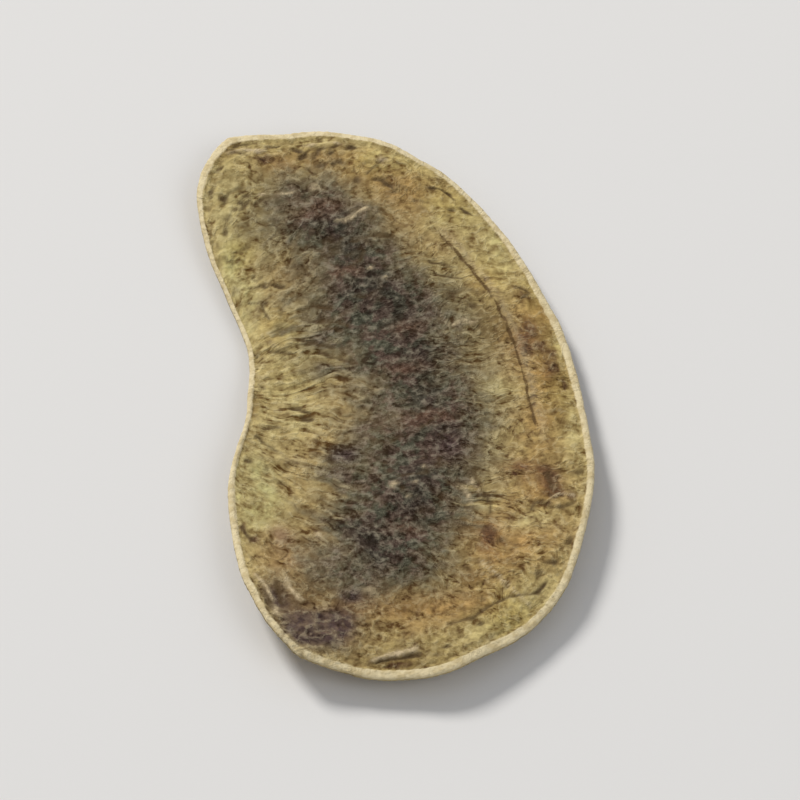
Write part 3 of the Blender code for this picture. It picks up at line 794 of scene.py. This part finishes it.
def pod_material():
    material = bpy.data.materials.new("dried_pod_skin")
    material.use_nodes = True
    n = Nodes(material)
    grain, flat = n.attribute("grain", "Vector"), n.attribute("flat", "Vector")
    far, streak, edge = n.attribute("far"), n.attribute("streak"), n.attribute("edge")

    def fibre_noise(scale, stretch, width=None):
        """Noise drawn out along the fibres, or crests of a width in it."""
        near = n.noise(n.scaled(grain, (1.0, stretch, 1.0)), scale, 2, 0.55)
        beyond = n.noise(n.scaled(grain, (FAR_SPREAD, stretch, 1.0)), scale, 2, 0.55)
        if width:
            near, beyond = n.crest(near, width), n.crest(beyond, width)
        return n.blend(far, near, beyond)

    # The noises that the rest is made of, each with its hills to a millimetre, its octaves and its roughness.
    large = n.noise(flat, 0.16, 2, 0.5)
    patches = n.noise(flat, 0.6, 3, 0.6)
    hue = n.noise(flat, 1.1, 2, 0.6)
    pebble = n.noise(flat, 1.9, 2, 0.6)
    grit = n.noise(flat, 2.4, 3, 0.7)
    speck = n.noise(flat, 3.6, 2, 0.6)
    dust = n.noise(flat, 5.0, 3, 0.65)
    rays = fibre_noise(1.1, 0.22)
    crests = n.blend(streak, fibre_noise(1.4, 0.48, 0.075), fibre_noise(1.4, 0.22, 0.08))
    creases = n.blend(streak, fibre_noise(1.7, 0.42, 0.06), fibre_noise(1.8, 0.18, 0.07))

    # The ground of the margins, with its patches, and bleached towards the rim.
    ground = n.mix(n.span(large, 0.4, 0.6), COLOURS["khaki"], COLOURS["yellow_khaki"])
    ground = n.mix(n.product(n.attribute("ash"), 0.8), ground, COLOURS["ash"])
    shares = {"tan": (0.45, 0.95), "straw": (0.45, 0.95), "green": (0.25, 0.85), "rust": (0.4, 1.0)}
    for name, (low, high) in shares.items():
        share = n.product(n.attribute(name), n.span(patches, 0.36, 0.62, low, high))
        ground = n.mix(share, ground, COLOURS[name])
    dark_rust = n.product(n.span(n.attribute("rust"), 0.4, 0.9), n.span(pebble, 0.46, 0.6))
    ground = n.mix(dark_rust, ground, COLOURS["dark_rust"])
    mauve = n.product(n.attribute("mauve"), n.span(patches, 0.36, 0.62, 0.45, 0.9))
    ground = n.mix(mauve, ground, COLOURS["mauve"])
    bleached = n.product(n.span(edge, 3.2, 0.6, 0, 0.5), n.span(n.attribute("tan"), 0, 1, 1, 0.5))
    ground = n.mix(bleached, ground, COLOURS["bleached"])
    ground = n.tint(n.product(n.attribute("gold"), 0.9), ground, YELLOWER)

    # The dark band, with an olive border. Its edge is drawn out along the fibres.
    frayed = n.product(n.sum(n.product(streak, 0.8), 0.2), n.span(rays, 0.3, 0.7, -0.5, 0.5), False)
    uneven = n.sum(n.span(patches, 0.3, 0.7, -0.25, 0.25), n.span(pebble, 0.3, 0.7, -0.15, 0.15))
    ragged = n.sum(n.attribute("band"), frayed, uneven)
    dark = n.mix(n.span(hue, 0.42, 0.58), COLOURS["band_green"], COLOURS["band_brown"])
    dark = n.mix(n.product(n.attribute("core"), 0.75), dark, COLOURS["core"])
    plum = n.product(n.attribute("plum"), n.span(pebble, 0.35, 0.6, 0.85, 0.4))
    dark = n.mix(plum, dark, COLOURS["plum"])
    olive = n.mix(n.span(ragged, -1.2, 0.25, 0, 0.9), ground, COLOURS["olive"])
    colour = n.mix(n.span(ragged, -0.5, 1.1), olive, dark)

    # Stains over both.
    colour = n.tint(n.product(n.attribute("shade"), 0.75), colour, SHADED)
    brown = n.product(n.span(n.attribute("brown"), 0.0, 0.9), n.span(grit, 0.3, 0.6, 1.0, 0.75))
    colour = n.mix(brown, colour, COLOURS["brown"])
    violet = n.product(n.attribute("violet"), n.span(pebble, 0.3, 0.7, 1.0, 0.8))
    colour = n.mix(violet, colour, COLOURS["violet"])

    # The skin's grain: dark hollows and pale crests, drawn out along the fibres in the streaked places.
    in_band = n.span(n.sum(ragged, n.attribute("violet")), -0.3, 0.6)
    mottled = n.sum(n.span(patches, 0.32, 0.68, -0.12, 0.12), n.span(pebble, 0.3, 0.7, -0.15, 0.15))
    smooth = n.sum(n.attribute("straw"), n.attribute("green"), n.attribute("calm"))
    coarse = n.product(n.span(hue, 0.42, 0.58, 0.16, 0.44), n.span(smooth, 0.1, 0.9, 1.0, 0.55))
    grainy = n.product(n.span(grit, 0.34, 0.66, -0.5, 0.5), n.blend(in_band, coarse, 0.64), False)
    wrinkling = n.product(n.span(patches, 0.56, 0.4, 0.4, 1.0), n.span(edge, 0.5, 3.0, 0.65, 1.0))
    wrinkling = n.sum(wrinkling, n.span(ragged, -0.2, 0.7, 0, 0.45), n.product(streak, 0.15))
    wrinkling = n.product(wrinkling, n.span(n.attribute("calm"), 0, 1, 1.0, 0.45), False)
    wrinkled = n.product(n.join("SUBTRACT", crests, creases), n.product(wrinkling, 0.36, False), False)
    tone = n.sum(mottled, wrinkled, grainy, 0.48)
    colour = n.mix(1.0, colour, n.mix(tone, GRAIN_HOLLOW, GRAIN_CREST), "MULTIPLY")
    threads = n.product(crests, n.span(grit, 0.42, 0.58))
    colour = n.mix(n.product(threads, n.span(in_band, 0, 1, 0.3, 0)), colour, COLOURS["thread"])
    colour = n.mix(n.product(threads, n.span(in_band, 0, 1, 0, 0.45)), colour, COLOURS["band_thread"])
    flecks = n.product(n.span(grit, 0.56, 0.68), n.span(patches, 0.35, 0.55, 0.4, 1.0))
    colour = n.mix(n.product(flecks, n.span(in_band, 0, 1, 0, 0.5)), colour, COLOURS["band_fleck"])

    # Crests are painted paler and hollows darker, as painted highlight and painted shade on the relief; slits
    # stay dark, with painted shadow under the lip; and the rim's cord is cream.
    height, fray = n.attribute("height"), n.span(grit, 0.3, 0.7, -0.03, 0.03)
    colour = n.mix(n.span(height, 0.55, 0.95, 0, 0.3), colour, COLOURS["crest_highlight"])
    colour = n.mix(n.span(height, 0.44, 0.1, 0, 0.5), colour, COLOURS["hollow"])
    scar = n.product(n.attribute("pale"), n.span(speck, 0.35, 0.6, 0.9, 0.4))
    colour = n.mix(scar, colour, COLOURS["scar"])
    colour = n.mix(n.product(n.attribute("groove"), 0.85), colour, COLOURS["slit"])
    colour = n.mix(n.span(n.sum(n.attribute("crease"), fray), 0.05, 0.16, 0.85, 0), colour, COLOURS["crease"])
    cream = n.mix(n.span(pebble, 0.4, 0.65), COLOURS["cream"], COLOURS["dull_cream"])
    cord = n.span(n.sum(n.attribute("cord"), fray), -0.1, 0.04)
    # the cord's cream, faded on the rim's lower half as painted shade
    colour = n.mix(n.product(cord, n.product(n.attribute("wall_unshaded"), 0.95)), colour, cream)
    n.put(colour, n.shader.inputs["Base Color"])

    n.put(n.span(pebble, 0.3, 0.7, 0.6, 0.8), n.shader.inputs["Roughness"])
    n.shader.inputs["Specular IOR Level"].default_value = GLOSS
    bump = n.tree.nodes.new("ShaderNodeBump")
    bump.inputs["Strength"].default_value = BUMP_STRENGTH
    bump.inputs["Distance"].default_value = BUMP_HEIGHT
    n.put(n.sum(tone, n.product(threads, 0.3), n.product(dust, 0.5)), bump.inputs["Height"])
    n.put(bump.outputs["Normal"], n.shader.inputs["Normal"])
    return material


def make_pod():
    pod = bpy.data.objects.new("dried_pod", pod_mesh())
    bpy.context.scene.collection.objects.link(pod)
    pod.data.materials.append(pod_material())
    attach(pod, "root")
    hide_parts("pod")


def make_floor():
    mesh = bpy.data.meshes.new("floor")
    corners = [(-FLOOR_HALF, -FLOOR_HALF, 0), (FLOOR_HALF, -FLOOR_HALF, 0)]
    corners += [(FLOOR_HALF, FLOOR_HALF, 0), (-FLOOR_HALF, FLOOR_HALF, 0)]
    mesh.from_pydata(corners, [], [(0, 1, 2, 3)])
    floor = bpy.data.objects.new("floor", mesh)
    bpy.context.scene.collection.objects.link(floor)
    material = bpy.data.materials.new("pale_floor")
    material.use_nodes = True
    shader = material.node_tree.nodes["Principled BSDF"]
    shader.inputs["Base Color"].default_value = FLOOR_COLOUR
    shader.inputs["Roughness"].default_value = 0.9
    mesh.materials.append(material)


def aim(thing, place, target):
    thing.location = place
    thing.rotation_euler = (Vector(target) - Vector(place)).to_track_quat("-Z", "Y").to_euler()
    bpy.context.scene.collection.objects.link(thing)


def make_light(name, place, size, power, colour):
    light = bpy.data.lights.new(name, "AREA")
    light.shape, light.size, light.energy, light.color = "DISK", size, power, colour
    lamp = bpy.data.objects.new(name, light)
    lamp.visible_camera = False
    aim(lamp, place, (0, 0, 0))


def make_studio():
    make_light("key", place=(-0.6, 0.85, 0.85), size=0.4, power=14.0, colour=(1.0, 0.98, 0.95))
    make_light("fill", place=(0.7, -0.7, 0.9), size=0.9, power=3.0, colour=(0.96, 0.98, 1.0))
    world = bpy.data.worlds.new("pale_room")
    bpy.context.scene.world = world
    world.use_nodes = True
    background = world.node_tree.nodes["Background"]
    background.inputs["Color"].default_value = ROOM_COLOUR
    background.inputs["Strength"].default_value = ROOM_STRENGTH
    camera = bpy.data.objects.new("camera", bpy.data.cameras.new("camera"))
    camera.data.lens = CAMERA_LENS
    level_reach = math.cos(CAMERA_ELEVATION)
    back = Vector((
        math.sin(CAMERA_AZIMUTH) * level_reach,
        -math.cos(CAMERA_AZIMUTH) * level_reach,
        math.sin(CAMERA_ELEVATION),
    ))
    target = Vector(CAMERA_TARGET)
    aim(camera, target + back * CAMERA_DISTANCE, target)
    bpy.context.scene.camera = camera
    bpy.context.scene.view_settings.view_transform = "Standard"


make_pod()
make_floor()
make_studio()
